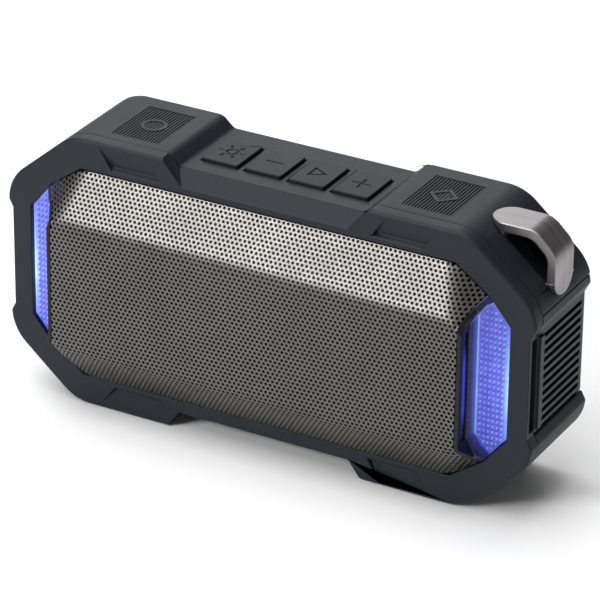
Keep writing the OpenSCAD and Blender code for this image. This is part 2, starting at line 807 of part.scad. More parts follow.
front_bezel();
grille();
grille_felt();
cheek(-1);  // cheek_left
cheek(1);  // cheek_right
lens_frame(-1);  // lens_frame_left
lens_frame(1);  // lens_frame_right
lens(-1);  // lens_left
lens(1);  // lens_right
light_guide(-1);  // light_guide_left
light_guide(1);  // light_guide_right
led_board(-1);  // led_board_left
led_board(1);  // led_board_right
front_gasket();
baffle();
chassis();
top_cover();
bottom_cover();
end_panel(-1);  // end_panel_left
end_panel(1);  // end_panel_right
rear_cover();
port_cover();
driver_frame(-1);  // driver_frame_left
driver_frame(1);  // driver_frame_right
driver_surround(-1);  // driver_surround_left
driver_surround(1);  // driver_surround_right
driver_magnet(-1);  // driver_magnet_left
driver_magnet(1);  // driver_magnet_right
driver_cone(-1);  // driver_cone_left
driver_cone(1);  // driver_cone_right
voice_coil(-1);  // voice_coil_left
voice_coil(1);  // voice_coil_right
dust_cap(-1);  // dust_cap_left
dust_cap(1);  // dust_cap_right
radiator_frame(-1);  // radiator_frame_left
radiator_frame(1);  // radiator_frame_right
radiator_surround(-1);  // radiator_surround_left
radiator_surround(1);  // radiator_surround_right
radiator_plate(-1);  // radiator_plate_left
radiator_plate(1);  // radiator_plate_right
key(0) light_mark();  // key_light
key(1) bar_mark(6.4, 0.8);  // key_minus
key(2) play_mark();  // key_play
key(3) plus_mark();  // key_plus
key_board();
key_switches();
main_board();
board_parts();
usb_socket();
aux_socket();
board_carrier();
battery();
battery_cradle();
strap_bar();
bar_screw();
case_screws();
driver_screws();
board_screws();
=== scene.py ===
"""Rugged shower speaker: the outside pieces, their finishes and the studio they stand in."""

import json
import math

import bmesh
import bpy
from mathutils import Matrix, Vector

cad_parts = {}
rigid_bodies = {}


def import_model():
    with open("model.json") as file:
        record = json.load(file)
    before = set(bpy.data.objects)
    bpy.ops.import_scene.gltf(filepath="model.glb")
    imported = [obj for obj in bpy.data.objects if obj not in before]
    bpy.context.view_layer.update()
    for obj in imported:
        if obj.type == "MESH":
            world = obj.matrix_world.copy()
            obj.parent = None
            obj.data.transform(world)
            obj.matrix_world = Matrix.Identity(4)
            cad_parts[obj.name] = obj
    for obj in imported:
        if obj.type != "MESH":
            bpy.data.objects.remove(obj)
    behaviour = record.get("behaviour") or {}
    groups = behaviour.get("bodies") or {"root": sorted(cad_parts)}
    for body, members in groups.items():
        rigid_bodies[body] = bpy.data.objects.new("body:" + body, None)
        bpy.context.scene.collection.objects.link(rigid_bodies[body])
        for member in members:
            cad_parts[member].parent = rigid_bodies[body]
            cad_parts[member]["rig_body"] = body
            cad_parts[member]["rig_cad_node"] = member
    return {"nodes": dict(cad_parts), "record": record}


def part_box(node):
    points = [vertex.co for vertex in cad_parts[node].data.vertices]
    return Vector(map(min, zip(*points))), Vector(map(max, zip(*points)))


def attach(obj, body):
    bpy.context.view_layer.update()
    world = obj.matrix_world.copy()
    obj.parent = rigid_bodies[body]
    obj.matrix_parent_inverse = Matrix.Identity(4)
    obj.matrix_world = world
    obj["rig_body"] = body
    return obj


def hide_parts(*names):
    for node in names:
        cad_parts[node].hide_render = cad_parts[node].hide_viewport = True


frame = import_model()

bl_info = {
    "name": "Shower speaker",
    "version": (1, 0, 0),
    "blender": (4, 5, 0),
    "location": "3D View > Sidebar > Speaker",
    "description": "Builds the outside pieces of a rugged shower speaker round its packed frame",
    "category": "Object",
}

MM = 0.001
NODES = frame["nodes"]
BODY_OF = {
    node: body
    for body, members in frame["record"]["behaviour"]["bodies"].items()
    for node in members
}
SLOT_OF = {name: part.data.materials[0].name for name, part in NODES.items()}
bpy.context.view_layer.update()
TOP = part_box("top_cover")[1].z
MID = TOP / 2
FACE_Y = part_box("grille")[0].y


# ---------------------------------------------------------------- sizes and colours


class SpeakerSizes(bpy.types.PropertyGroup):
    hole: bpy.props.FloatProperty(
        name="Hole width",
        description="Width of each hole punched in the front mesh",
        default=1.02 * MM, min=0.5 * MM, max=1.4 * MM, unit="LENGTH", precision=5,
    )
    pitch: bpy.props.FloatProperty(
        name="Hole pitch",
        description="Distance from hole to hole along a row of the mesh",
        default=1.6 * MM, min=1.2 * MM, max=3 * MM, unit="LENGTH", precision=5,
    )
    sheet: bpy.props.FloatProperty(
        name="Sheet depth",
        description="How deep each hole's wall goes behind the face of the mesh",
        default=0.35 * MM, min=0.1 * MM, max=0.5 * MM, unit="LENGTH", precision=5,
    )
    bend: bpy.props.FloatProperty(
        name="Mesh bend",
        description="Setback of the pressed bends round the flat of the mesh",
        default=3 * MM, min=0.5 * MM, max=4 * MM, unit="LENGTH", precision=5,
    )
    edge: bpy.props.FloatProperty(
        name="Moulded edge",
        description="Setback of the small rounding on every moulded edge",
        default=0.35 * MM, min=0.1 * MM, max=0.6 * MM, unit="LENGTH", precision=5,
    )
    prism_rows: bpy.props.IntProperty(
        name="Prism rows",
        description="Rows of small prisms up each light",
        default=26, min=8, max=40,
    )
    prism_columns: bpy.props.IntProperty(
        name="Prism columns",
        description="Columns of small prisms across each light",
        default=6, min=3, max=10,
    )


def colour_prop(name, text, default):
    return bpy.props.FloatVectorProperty(
        name=name, description=text, default=default, size=3, min=0, max=1, subtype="COLOR"
    )


class SpeakerColours(bpy.types.PropertyGroup):
    case: colour_prop("Case", "Soft-touch case and bumpers", (0.0105, 0.0125, 0.0175))
    panel: colour_prop("Panels", "End panels and rear cover", (0.0095, 0.011, 0.015))
    trim: colour_prop("Trim", "Cheeks beside the mesh", (0.007, 0.007, 0.009))
    mesh: colour_prop("Mesh", "Painted steel of the front mesh", (0.135, 0.129, 0.122))
    metal: colour_prop("Bar", "Brushed metal of the strap bar", (0.30, 0.28, 0.29))
    glow: colour_prop("Glow", "Colour of the lights", (0.06, 0.09, 1.0))
    spark: colour_prop("Spark", "Colour of the lights over their lamps", (0.35, 0.62, 1.0))


# ---------------------------------------------------------------- small steps by hand


def only(obj):
    """Selects one object and makes it the active one."""
    bpy.ops.object.select_all(action="DESELECT")
    obj.select_set(True)
    bpy.context.view_layer.objects.active = obj


def edit(obj):
    only(obj)
    bpy.ops.object.mode_set(mode="EDIT")
    bpy.ops.mesh.select_mode(type="EDGE")
    bpy.ops.mesh.select_all(action="DESELECT")


def leave():
    bpy.ops.object.mode_set(mode="OBJECT")


def mm(v):
    return Vector(v) * 1000


def pick_edges(obj, test):
    """In edit mode, selects the edges whose ends (mm) and turn pass the test.

    The turn is in degrees, above zero on an outer edge and below it on an inner one.
    """
    bm = bmesh.from_edit_mesh(obj.data)
    bm.normal_update()
    count = 0
    for e in bm.edges:
        turn = math.degrees(e.calc_face_angle_signed(0)) if len(e.link_faces) == 2 else 0
        on = bool(test(mm(e.verts[0].co), mm(e.verts[1].co), turn))
        e.select = on
        count += on
    bm.select_mode = {"EDGE"}
    bm.select_flush_mode()
    bmesh.update_edit_mesh(obj.data)
    return count


def pick_faces(obj, test):
    """In edit mode, selects the faces whose centre (mm) and normal pass the test."""
    bpy.ops.mesh.select_mode(type="FACE")
    bm = bmesh.from_edit_mesh(obj.data)
    bm.normal_update()
    count = 0
    for f in bm.faces:
        on = bool(test(mm(f.calc_center_median()), f.normal))
        f.select = on
        count += on
    bm.select_mode = {"FACE"}
    bm.select_flush_mode()
    bmesh.update_edit_mesh(obj.data)
    return count


def round_edges(obj, test, width, segments=3):
    """Bevels the edges that pass the test."""
    edit(obj)
    count = pick_edges(obj, test)
    if count:
        bpy.ops.mesh.bevel(
            offset_type="OFFSET", offset=width, segments=segments, profile=0.5,
            affect="EDGES", clamp_overlap=False, miter_outer="SHARP",
        )
    leave()
    return count


def cut(obj, point, normal, fill=True):
    """Takes off what lies on the normal's side of a plane; point in mm."""
    edit(obj)
    bpy.ops.mesh.select_all(action="SELECT")
    bpy.ops.mesh.bisect(
        plane_co=Vector(point) * MM, plane_no=normal, use_fill=fill, clear_outer=True,
        threshold=1e-6,
    )
    leave()


def apply_modifier(obj, kind, **values):
    only(obj)
    mod = obj.modifiers.new(kind.title(), kind)
    for key, value in values.items():
        setattr(mod, key, value)
    bpy.ops.object.modifier_apply(modifier=mod.name)


def smooth(obj, angle=32):
    """Smooths the shading over the small roundings and keeps the flats flat."""
    only(obj)
    bpy.ops.object.shade_smooth_by_angle(angle=math.radians(angle))
    apply_modifier(obj, "WEIGHTED_NORMAL", keep_sharp=True, weight=100)


def copy_of(node, name):
    """A welded copy of a frame part with its flats joined up, ready for shaping."""
    only(NODES[node])
    bpy.ops.object.duplicate()
    obj = bpy.context.active_object
    obj.name = obj.data.name = name
    obj.parent = None
    obj.matrix_world = Matrix.Identity(4)
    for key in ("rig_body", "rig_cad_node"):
        if key in obj:
            del obj[key]
    edit(obj)
    bpy.ops.mesh.select_all(action="SELECT")
    bpy.ops.mesh.remove_doubles(threshold=1e-5)
    bpy.ops.mesh.dissolve_limited(angle_limit=math.radians(0.6))
    leave()
    return obj


def settle(obj, material, nodes, body=None):
    """Gives a finished piece its material and body, and puts it in place of its frame parts."""
    if not obj.data.polygons:
        raise RuntimeError(f"{obj.name} has no faces")
    obj.data.materials.clear()
    obj.data.materials.append(material)
    for face in obj.data.polygons:
        face.material_index = 0
    nodes = [nodes] if isinstance(nodes, str) else list(nodes)
    if nodes:
        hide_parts(*nodes)
    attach(obj, body or BODY_OF[nodes[0]])
    return obj


def join(parts, name):
    bpy.ops.object.select_all(action="DESELECT")
    for part in parts:
        part.select_set(True)
    bpy.context.view_layer.objects.active = parts[0]
    if len(parts) > 1:
        bpy.ops.object.join()
    obj = bpy.context.active_object
    obj.name = obj.data.name = name
    return obj


def bake_place(obj):
    """Puts the object's place, turn and size into its mesh."""
    only(obj)
    bpy.ops.object.transform_apply(location=True, rotation=True, scale=True)


def sharp(limit=25):
    return lambda a, b, turn: abs(turn) > limit


# ---------------------------------------------------------------- finishes


class Tree:
    """A short way to lay nodes in a material."""

    def __init__(self, name):
        self.mat = bpy.data.materials.get(name) or bpy.data.materials.new(name)
        self.mat.use_nodes = True
        self.nt = self.mat.node_tree
        self.nt.nodes.clear()
        self.out = self.nt.nodes.new("ShaderNodeOutputMaterial")
        self.shader = self.nt.nodes.new("ShaderNodeBsdfPrincipled")
        self.nt.links.new(self.shader.outputs[0], self.out.inputs[0])
        self.place = self.nt.nodes.new("ShaderNodeTexCoord").outputs["Object"]

    def link(self, source, target):
        self.nt.links.new(source, target)

    def set(self, **values):
        for key, value in values.items():
            socket = self.shader.inputs[key.replace("_", " ")]
            if isinstance(value, bpy.types.NodeSocket):
                self.link(value, socket)
            elif isinstance(value, (tuple, list)) or hasattr(value, "foreach_get"):
                socket.default_value = tuple(value)[:3] + (1,)
            else:
                socket.default_value = value

    def stretch(self, scale, turn=(0, 0, 0), shift=(0, 0, 0)):
        node = self.nt.nodes.new("ShaderNodeMapping")
        node.inputs["Scale"].default_value = scale
        node.inputs["Rotation"].default_value = turn
        node.inputs["Location"].default_value = shift
        self.link(self.place, node.inputs["Vector"])
        return node.outputs[0]

    def noise(self, scale, detail=2.0, rough=0.5, vector=None, seed=0.0):
        node = self.nt.nodes.new("ShaderNodeTexNoise")
        node.noise_dimensions = "4D"
        node.inputs["W"].default_value = seed
        node.inputs["Scale"].default_value = scale
        node.inputs["Detail"].default_value = detail
        node.inputs["Roughness"].default_value = rough
        self.link(vector or self.place, node.inputs["Vector"])
        return node.outputs["Fac"]

    def cells(self, scale, vector=None):
        node = self.nt.nodes.new("ShaderNodeTexVoronoi")
        node.inputs["Scale"].default_value = scale
        self.link(vector or self.place, node.inputs["Vector"])
        return node.outputs["Distance"]

    def spread(self, value, low, high, to_low, to_high):
        node = self.nt.nodes.new("ShaderNodeMapRange")
        for key, number in (
            ("From Min", low), ("From Max", high), ("To Min", to_low), ("To Max", to_high)
        ):
            node.inputs[key].default_value = number
        self.link(value, node.inputs["Value"])
        return node.outputs[0]

    def maths(self, how, a, b=0.0):
        node = self.nt.nodes.new("ShaderNodeMath")
        node.operation = how
        for socket, value in zip(node.inputs, (a, b)):
            if isinstance(value, bpy.types.NodeSocket):
                self.link(value, socket)
            else:
                socket.default_value = value
        return node.outputs[0]

    def mix(self, amount, a, b):
        node = self.nt.nodes.new("ShaderNodeMix")
        node.data_type = "RGBA"
        for socket, value in zip((node.inputs[0], node.inputs[6], node.inputs[7]), (amount, a, b)):
            if isinstance(value, bpy.types.NodeSocket):
                self.link(value, socket)
            elif isinstance(value, float):
                socket.default_value = value
            else:
                socket.default_value = tuple(value)[:3] + (1,)
        return node.outputs[2]

    def axes(self):
        node = self.nt.nodes.new("ShaderNodeSeparateXYZ")
        self.link(self.place, node.inputs[0])
        return node.outputs

    def worn(self, low=0.53, high=0.62):
        """0 on the flats and hollows, 1 along the outer edges."""
        node = self.nt.nodes.new("ShaderNodeNewGeometry")
        return self.spread(node.outputs["Pointiness"], low, high, 0.0, 1.0)

    def bump(self, height, strength, distance):
        node = self.nt.nodes.new("ShaderNodeBump")
        node.inputs["Strength"].default_value = strength
        node.inputs["Distance"].default_value = distance
        self.link(height, node.inputs["Height"])
        self.link(node.outputs[0], self.shader.inputs["Normal"])


def shade(colour, factor):
    return tuple(min(1.0, c * factor) for c in colour[:3])


def moulded(name, colour, rough=0.5, grain=0.25, wear=1.5):
    """Moulded or soft-touch plastic: spark-eroded grain, faint blotches, edges rubbed lighter."""
    t = Tree(name)
    grit = t.noise(2600, 3, 0.65)
    blotch = t.noise(55, 3, 0.6, seed=2.0)
    base = t.mix(t.spread(blotch, 0.3, 0.7, 0.0, 1.0), shade(colour, 0.9), shade(colour, 1.12))
    base = t.mix(t.spread(grit, 0.35, 0.68, 0.0, 0.45), base, shade(colour, 1.5))
    base = t.mix(t.maths("MULTIPLY", t.worn(), 0.55), base, shade(colour, wear))
    roughness = t.maths(
        "ADD", t.spread(grit, 0.3, 0.7, rough - 0.05, rough + 0.06),
        t.spread(blotch, 0.3, 0.7, -0.03, 0.04),
    )
    t.set(
        Base_Color=base, Roughness=roughness, Specular_IOR_Level=0.25,
        Specular_Tint=(0.9, 0.95, 1.0),
    )
    t.bump(grit, grain, 0.00012)
    return t.mat


def rubber(name, colour):
    t = Tree(name)
    fine = t.noise(3200, 2, 0.5)
    dust = t.noise(140, 4, 0.6, seed=5.0)
    base = t.mix(t.spread(dust, 0.45, 0.75, 0.0, 0.5), colour, shade(colour, 1.9))
    t.set(Base_Color=base, Roughness=t.spread(fine, 0.3, 0.7, 0.68, 0.82), Specular_IOR_Level=0.35)
    t.bump(fine, 0.2, 0.0001)
    return t.mat


def bare_metal(name, colour, rough=0.35, grain=400, metal=1.0):
    """Plated or cast metal: clouded roughness, fine scratches, brighter edges."""
    t = Tree(name)
    cloud = t.noise(grain, 4, 0.6)
    scratch = t.noise(60, 5, 0.7, vector=t.stretch((60, 6, 6), turn=(0.3, 0.5, 0.9)))
    base = t.mix(t.spread(cloud, 0.3, 0.7, 0.0, 1.0), shade(colour, 0.82), shade(colour, 1.1))
    base = t.mix(t.maths("MULTIPLY", t.worn(), 0.5), base, shade(colour, 1.5))
    t.set(
        Base_Color=base, Metallic=metal,
        Roughness=t.spread(scratch, 0.35, 0.7, rough - 0.06, rough + 0.12),
    )
    t.bump(scratch, 0.06, 0.0001)
    return t.mat


def brushed_bar(name, colour):
    """Metal brushed along the bar, with its lines running over the bend."""
    t = Tree(name)
    lines = t.noise(520, 5, 0.7, vector=t.stretch((0.06, 1.0, 0.06)))
    broad = t.noise(90, 3, 0.6, vector=t.stretch((0.35, 1.0, 0.35)), seed=3.0)
    cloud = t.noise(38, 2, 0.5, seed=8.0)
    base = t.mix(t.spread(lines, 0.28, 0.72, 0.0, 1.0), shade(colour, 0.62), shade(colour, 1.18))
    base = t.mix(t.spread(broad, 0.35, 0.65, 0.0, 0.35), base, shade(colour, 0.7))
    base = t.mix(t.maths("MULTIPLY", t.worn(0.52, 0.6), 0.4), base, shade(colour, 1.5))
    t.set(
        Base_Color=base, Metallic=1.0,
        Roughness=t.maths(
            "ADD", t.spread(lines, 0.3, 0.7, 0.30, 0.44), t.spread(cloud, 0.3, 0.7, -0.03, 0.05)
        ),
    )
    t.bump(lines, 0.16, 0.0001)
    return t.mat


def punched_steel(name, colour):
    """Painted steel sheet: satin, with a fine orange-peel and slight patchiness."""
    t = Tree(name)
    peel = t.noise(1500, 2, 0.5)
    patch = t.noise(70, 4, 0.6, seed=4.0)
    base = t.mix(t.spread(patch, 0.3, 0.7, 0.0, 1.0), shade(colour, 0.9), shade(colour, 1.08))
    t.set(
        Base_Color=base, Metallic=0.85,
        Roughness=t.maths(
            "ADD", t.spread(peel, 0.3, 0.7, 0.34, 0.44), t.spread(patch, 0.3, 0.7, -0.03, 0.03)
        ),
    )
    t.bump(peel, 0.08, 0.0001)
    return t.mat


def woven_felt(name, colour):
    t = Tree(name)
    fibre = t.noise(2400, 4, 0.7)
    base = t.mix(t.spread(fibre, 0.3, 0.7, 0.0, 1.0), shade(colour, 0.6), shade(colour, 1.4))
    t.set(Base_Color=base, Roughness=t.spread(fibre, 0.3, 0.7, 0.88, 1.0), Specular_IOR_Level=0.1)
    t.bump(fibre, 0.5, 0.0002)
    return t.mat


def cone_paper(name, colour):
    t = Tree(name)
    pulp = t.noise(900, 5, 0.65)
    base = t.mix(t.spread(pulp, 0.35, 0.65, 0.0, 1.0), shade(colour, 0.8), shade(colour, 1.3))
    t.set(Base_Color=base, Roughness=t.spread(pulp, 0.3, 0.7, 0.5, 0.7))
    t.bump(pulp, 0.2, 0.0001)
    return t.mat


def circuit_board(name, colour):
    t = Tree(name)
    weave = t.noise(1800, 2, 0.5)
    tracks = t.cells(420)
    base = t.mix(t.spread(tracks, 0.25, 0.32, 0.0, 0.6), shade(colour, 1.8), colour)
    t.set(Base_Color=base, Roughness=t.spread(weave, 0.3, 0.7, 0.3, 0.45), Coat_Weight=0.3)
    t.bump(t.spread(tracks, 0.25, 0.32, 1.0, 0.0), 0.1, 0.00005)
    return t.mat


def copper_wire(name, colour):
    t = Tree(name)
    turns = t.noise(300, 1, 0.3, vector=t.stretch((0.2, 22, 0.2)))
    base = t.mix(t.spread(turns, 0.4, 0.6, 0.0, 1.0), shade(colour, 0.6), shade(colour, 1.1))
    t.set(Base_Color=base, Metallic=1.0, Roughness=t.spread(turns, 0.3, 0.7, 0.2, 0.35))
    t.bump(turns, 0.3, 0.0001)
    return t.mat


def shrink_wrap(name, colour):
    t = Tree(name)
    crease = t.noise(260, 3, 0.5, vector=t.stretch((0.3, 1, 1)))
    base = t.mix(t.spread(crease, 0.4, 0.7, 0.0, 1.0), colour, shade(colour, 1.25))
    t.set(Base_Color=base, Roughness=t.spread(crease, 0.3, 0.7, 0.22, 0.36), Coat_Weight=0.4)
    t.bump(crease, 0.25, 0.0002)
    return t.mat


def lit_lens(name, glow, spark):
    """Clear lens lit from behind: bright edges and deep blue between, with painted highlights that
    make the facets facing up paler and brighter.
    """
    t = Tree(name)
    x, _, z = t.axes()
    across = t.spread(t.maths("ABSOLUTE", x), 73.1 * MM, 84.2 * MM, 0.0, 1.0)
    height = t.maths("ABSOLUTE", t.maths("SUBTRACT", z, MID - 2 * MM))
    middle = t.spread(height, 4 * MM, 24 * MM, 1.0, 0.0)
    normal = t.nt.nodes.new("ShaderNodeSeparateXYZ")
    t.link(t.nt.nodes.new("ShaderNodeNewGeometry").outputs["Normal"], normal.inputs[0])
    # painted highlight: facets that face up glow paler and brighter, and faces toward +x take a
    # lighter blue, as if catching the top light
    facing_up = t.spread(normal.outputs[2], -0.35, 0.35, 0.0, 1.0)
    facing_out = t.spread(normal.outputs[0], -0.35, 0.35, 0.0, 1.0)
    cloud = t.noise(420, 3, 0.6)
    inner = t.spread(across, 0.02, 0.1, 1.0, 0.0)
    outer = t.maths("MULTIPLY", t.spread(across, 0.8, 1.0, 0.0, 1.0), middle)
    edge = t.maths("MAXIMUM", t.maths("MULTIPLY", inner, 0.55), outer)
    tint = t.mix(facing_up, glow, (0.30, 0.29, 0.82))
    tint = t.mix(t.maths("MULTIPLY", facing_out, 0.45), tint, (0.10, 0.24, 1.0))
    tint = t.mix(edge, tint, spark)
    power = t.maths(
        "MULTIPLY", t.spread(facing_up, 0.0, 1.0, 0.3, 0.95), t.spread(cloud, 0.3, 0.7, 0.75, 1.25)
    )
    power = t.maths("MULTIPLY", power, t.spread(middle, 0.0, 1.0, 0.7, 1.0))
    power = t.maths("ADD", power, t.maths("MULTIPLY", edge, 0.85))
    left_light = t.spread(x, -10 * MM, 10 * MM, 1.6, 1.0)
    power = t.maths("MULTIPLY", power, left_light)
    t.set(
        Base_Color=(0.03, 0.035, 0.2), Roughness=0.16, Specular_IOR_Level=0.3,
        Emission_Color=tint, Emission_Strength=power,
    )
    return t.mat


def lit_slit(name, glow):
    """Light guide beside the mesh, bright in its middle and dying away at its ends."""
    t = Tree(name)
    cloud = t.noise(220, 2, 0.5)
    height = t.maths("ABSOLUTE", t.maths("SUBTRACT", t.axes()[2], MID - 1.5 * MM))
    t.set(
        Base_Color=(0.01, 0.01, 0.05), Roughness=t.spread(cloud, 0.3, 0.7, 0.2, 0.35),
        Emission_Color=glow,
        Emission_Strength=t.maths("MULTIPLY", t.spread(height, 8 * MM, 14 * MM, 1.0, 0.0), 0.42),
    )
    return t.mat


def smoked_rim(name):
    """Gloss rim round a light, smoked, with a painted blue sheen that glows brighter and bluer
    further back and fades at its ends.
    """
    t = Tree(name)
    cloud = t.noise(300, 2, 0.5)
    _, y, z = t.axes()
    deep = t.spread(y, FACE_Y + 6 * MM, FACE_Y + 12 * MM, 0.0, 1.0)
    height = t.maths("ABSOLUTE", t.maths("SUBTRACT", z, MID))
    ends = t.spread(height, 14 * MM, 26 * MM, 1.0, 0.35)
    t.set(
        Base_Color=(0.012, 0.012, 0.03), Roughness=t.spread(cloud, 0.3, 0.7, 0.16, 0.26),
        # painted sheen: this blue emission stands in for the lights' sheen on the rim, which gives no
        # light of its own
        Emission_Color=t.mix(deep, (0.05, 0.05, 0.16), (0.10, 0.11, 0.62)),
        Emission_Strength=t.maths("MULTIPLY", t.spread(deep, 0.0, 1.0, 0.15, 0.7), ends),
    )
    return t.mat


def finishes():
    """The finish of each slot in the record."""
    c = bpy.context.scene.speaker_colours
    return {
        "cover_grey": moulded("soft_touch_case", c.case[:], 0.47, 0.3, 1.7),
        "key_grey": moulded("rubber_key", c.case[:], 0.5, 0.25, 1.6),
        "panel_grey": moulded("moulded_panel", c.panel[:], 0.42, 0.3, 1.8),
        "trim_black": moulded("satin_trim", c.trim[:], 0.38, 0.12, 1.8),
        "frame_gloss": smoked_rim("smoked_rim"),
        "inner_plastic": moulded("inner_plastic", (0.012, 0.012, 0.014), 0.6, 0.3, 1.5),
        "seal_rubber": rubber("seal_rubber", (0.016, 0.016, 0.018)),
        "mesh_steel": punched_steel("painted_mesh", c.mesh[:]),
        "felt": woven_felt("black_felt", (0.006, 0.006, 0.007)),
        "bar_metal": brushed_bar("brushed_bar", c.metal[:]),
        "screw_steel": bare_metal("screw_steel", (0.35, 0.35, 0.36), 0.3),
        "frame_steel": bare_metal("frame_steel", (0.18, 0.18, 0.19), 0.42, metal=0.8),
        "magnet_steel": bare_metal("magnet_steel", (0.4, 0.4, 0.42), 0.35),
        "plate_aluminium": bare_metal("plate_aluminium", (0.6, 0.6, 0.62), 0.3),
        "part_metal": bare_metal("tinned_metal", (0.5, 0.5, 0.5), 0.28),
        "cone_plastic": cone_paper("cone_plastic", (0.03, 0.03, 0.034)),
        "board_green": circuit_board("circuit_board", (0.006, 0.06, 0.03)),
        "coil_copper": copper_wire("coil_copper", (0.75, 0.34, 0.18)),
        "cell_wrap": shrink_wrap("cell_wrap", (0.02, 0.08, 0.3)),
        "lens_clear": lit_lens("lit_lens", c.glow[:], c.spark[:]),
    }


FINISH = {}


# ---------------------------------------------------------------- pieces


class Piece(bpy.types.Operator):
    """Common base of the piece operators"""

    bl_options = {"REGISTER", "UNDO"}

    def execute(self, context):
        self.make(context.scene.speaker_sizes)
        return {"FINISHED"}


class SPEAKER_OT_finishes(bpy.types.Operator):
    """Mix the finishes and lay them on the frame parts that stay"""

    bl_idname = "speaker.finishes"
    bl_label = "Finishes"

    def execute(self, context):
        FINISH.update(finishes())
        for name, part in NODES.items():
            part.data.materials.clear()
            part.data.materials.append(FINISH[SLOT_OF[name]])
        return {"FINISHED"}


def near(value, target, slack=0.35):
    return abs(value - target) < slack


def along_y(a, b, least=1.5):
    return near(a.x, b.x, 0.02) and near(a.z, b.z, 0.02) and abs(a.y - b.y) > least


PAD_X, PAD_Y = 51, 6  # middle of each ribbed pad, in mm, as are the values below
PAD_HALF = (8.7, 11.9)
PAD_FLOOR, RIB_TOP = 92, 92.9
RIB_EDGE, BUMPER_EDGE, FOOT_EDGE = 0.08, 1.6, 0.9


class SPEAKER_OT_covers(Piece):
    """Mould the top and bottom covers with their bumpers"""

    bl_idname = "speaker.covers"
    bl_label = "Covers"

    def make(self, s):
        for node in ("top_cover", "bottom_cover"):
            obj = copy_of(node, node + "_shell")

            def bumper(a, b, turn):
                x, z = abs(a.x), abs(a.z - MID * 1000)
                return turn > 20 and along_y(a, b) and z > 46.5 and 34 < x < 38

            round_edges(obj, bumper, BUMPER_EDGE * MM, 4)

            def foot(a, b, turn):
                x, z = abs(a.x), abs(a.z - MID * 1000)
                return turn < -20 and along_y(a, b) and z < 44 and 29 < x < 34

            round_edges(obj, foot, FOOT_EDGE * MM, 3)

            def in_pad(v):
                beside = abs(abs(v.x) - PAD_X) < PAD_HALF[0] and abs(v.y - PAD_Y) < PAD_HALF[1]
                return beside and v.z > PAD_FLOOR

            def ribs(a, b, turn):
                return turn > 25 and in_pad(a) and in_pad(b) and min(a.z, b.z) > RIB_TOP

            round_edges(obj, ribs, RIB_EDGE * MM, 1)

            def rest(a, b, turn):
                return abs(turn) > 25 and not (in_pad(a) and in_pad(b)) and (a - b).length > 0.4

            round_edges(obj, rest, s.edge, 2)
            smooth(obj)
            settle(obj, FINISH["cover_grey"], node)


class SPEAKER_OT_bezel(Piece):
    """Mould the front bezel with its rounded front edge"""

    bl_idname = "speaker.bezel"
    bl_label = "Front bezel"

    def make(self, s):
        obj = copy_of("front_bezel", "front_bezel_shell")
        round_edges(obj, sharp(25), s.edge, 2)
        smooth(obj)
        settle(obj, FINISH["cover_grey"], "front_bezel")


class SPEAKER_OT_end_panels(Piece):
    """Mould the slotted end panels"""

    bl_idname = "speaker.end_panels"
    bl_label = "End panels"

    def make(self, s):
        for side in ("left", "right"):
            obj = copy_of(f"end_panel_{side}", f"end_panel_{side}_shell")
            round_edges(obj, sharp(25), 0.2 * MM, 2)
            smooth(obj)
            settle(obj, FINISH["panel_grey"], f"end_panel_{side}")


class SPEAKER_OT_rear(Piece):
    """Mould the rear cover and the rubber door over the sockets"""

    bl_idname = "speaker.rear"
    bl_label = "Rear cover and socket door"

    def make(self, s):
        obj = copy_of("rear_cover", "rear_cover_shell")
        round_edges(obj, lambda a, b, t: abs(t) > 25 and (a - b).length > 0.4, 0.25 * MM, 2)
        smooth(obj)
        settle(obj, FINISH["panel_grey"], "rear_cover")
        door = copy_of("port_cover", "port_cover_rubber")
        round_edges(door, lambda a, b, t: abs(t) > 30 and (a - b).length > 0.4, 0.18 * MM, 2)
        smooth(door)
        settle(door, FINISH["seal_rubber"], "port_cover")


KEY_Y = 6.1  # middle of the row of keys, in mm, as are the half sizes below
KEY_HALF = (6.4, 8.2)
RIM_INSIDE = (5.4, 7.2)
GLYPH_HALF = (5.6, 7.4)
GLYPH_DEPTH = 0.5


class SPEAKER_OT_keys(Piece):
    """Mould the four top keys"""

    bl_idname = "speaker.keys"
    bl_label = "Keys"

    def make(self, s):
        for name in ("light", "minus", "play", "plus"):
            node = "key_" + name
            obj = copy_of(node, node + "_cap")
            lo, hi = (mm(v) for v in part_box(node))

            def from_middle(v):
                return abs(v.x - (lo.x + hi.x) / 2), abs(v.y - KEY_Y)

            def upright(a, b, turn):
                corner = all(near(d, half, 0.05) for d, half in zip(from_middle(a), KEY_HALF))
                return turn > 25 and corner and abs(a.z - b.z) > 1

            round_edges(obj, upright, 0.9 * MM, 4)

            def rim(a, b, turn):
                high = near(a.z, hi.z, 0.02) and near(b.z, hi.z, 0.02)
                outer = all(
                    any(d > half for d, half in zip(from_middle(v), RIM_INSIDE)) for v in (a, b)
                )
                return turn > 25 and high and outer

            round_edges(obj, rim, 0.3 * MM, 3)

            def glyph(a, b, turn):
                return abs(turn) > 30 and min(a.z, b.z) > hi.z - GLYPH_DEPTH and all(
                    d < half for v in (a, b) for d, half in zip(from_middle(v), GLYPH_HALF)
                )

            round_edges(obj, glyph, 0.07 * MM, 1)
            smooth(obj)
            settle(obj, FINISH["key_grey"], node)


# the front mesh seen from the front, in mm, heights from the middle of the case
OPENING = ((65.5, 36.4), (77.0, 28.2))
OPENING_LAP = 0.25
SIDE_LINE = ((71.35, 0.0), (71.35, 20.5), (73.25, 24.6), (76.5, 28.65))
SIDE_OVERRUN = 9
SLOPES = ((20.0, 0.866), (-24.0, 0.794))
SHEET = (156, 86)
SHEET_DROP = 2.2
CELL_SIDES = 6


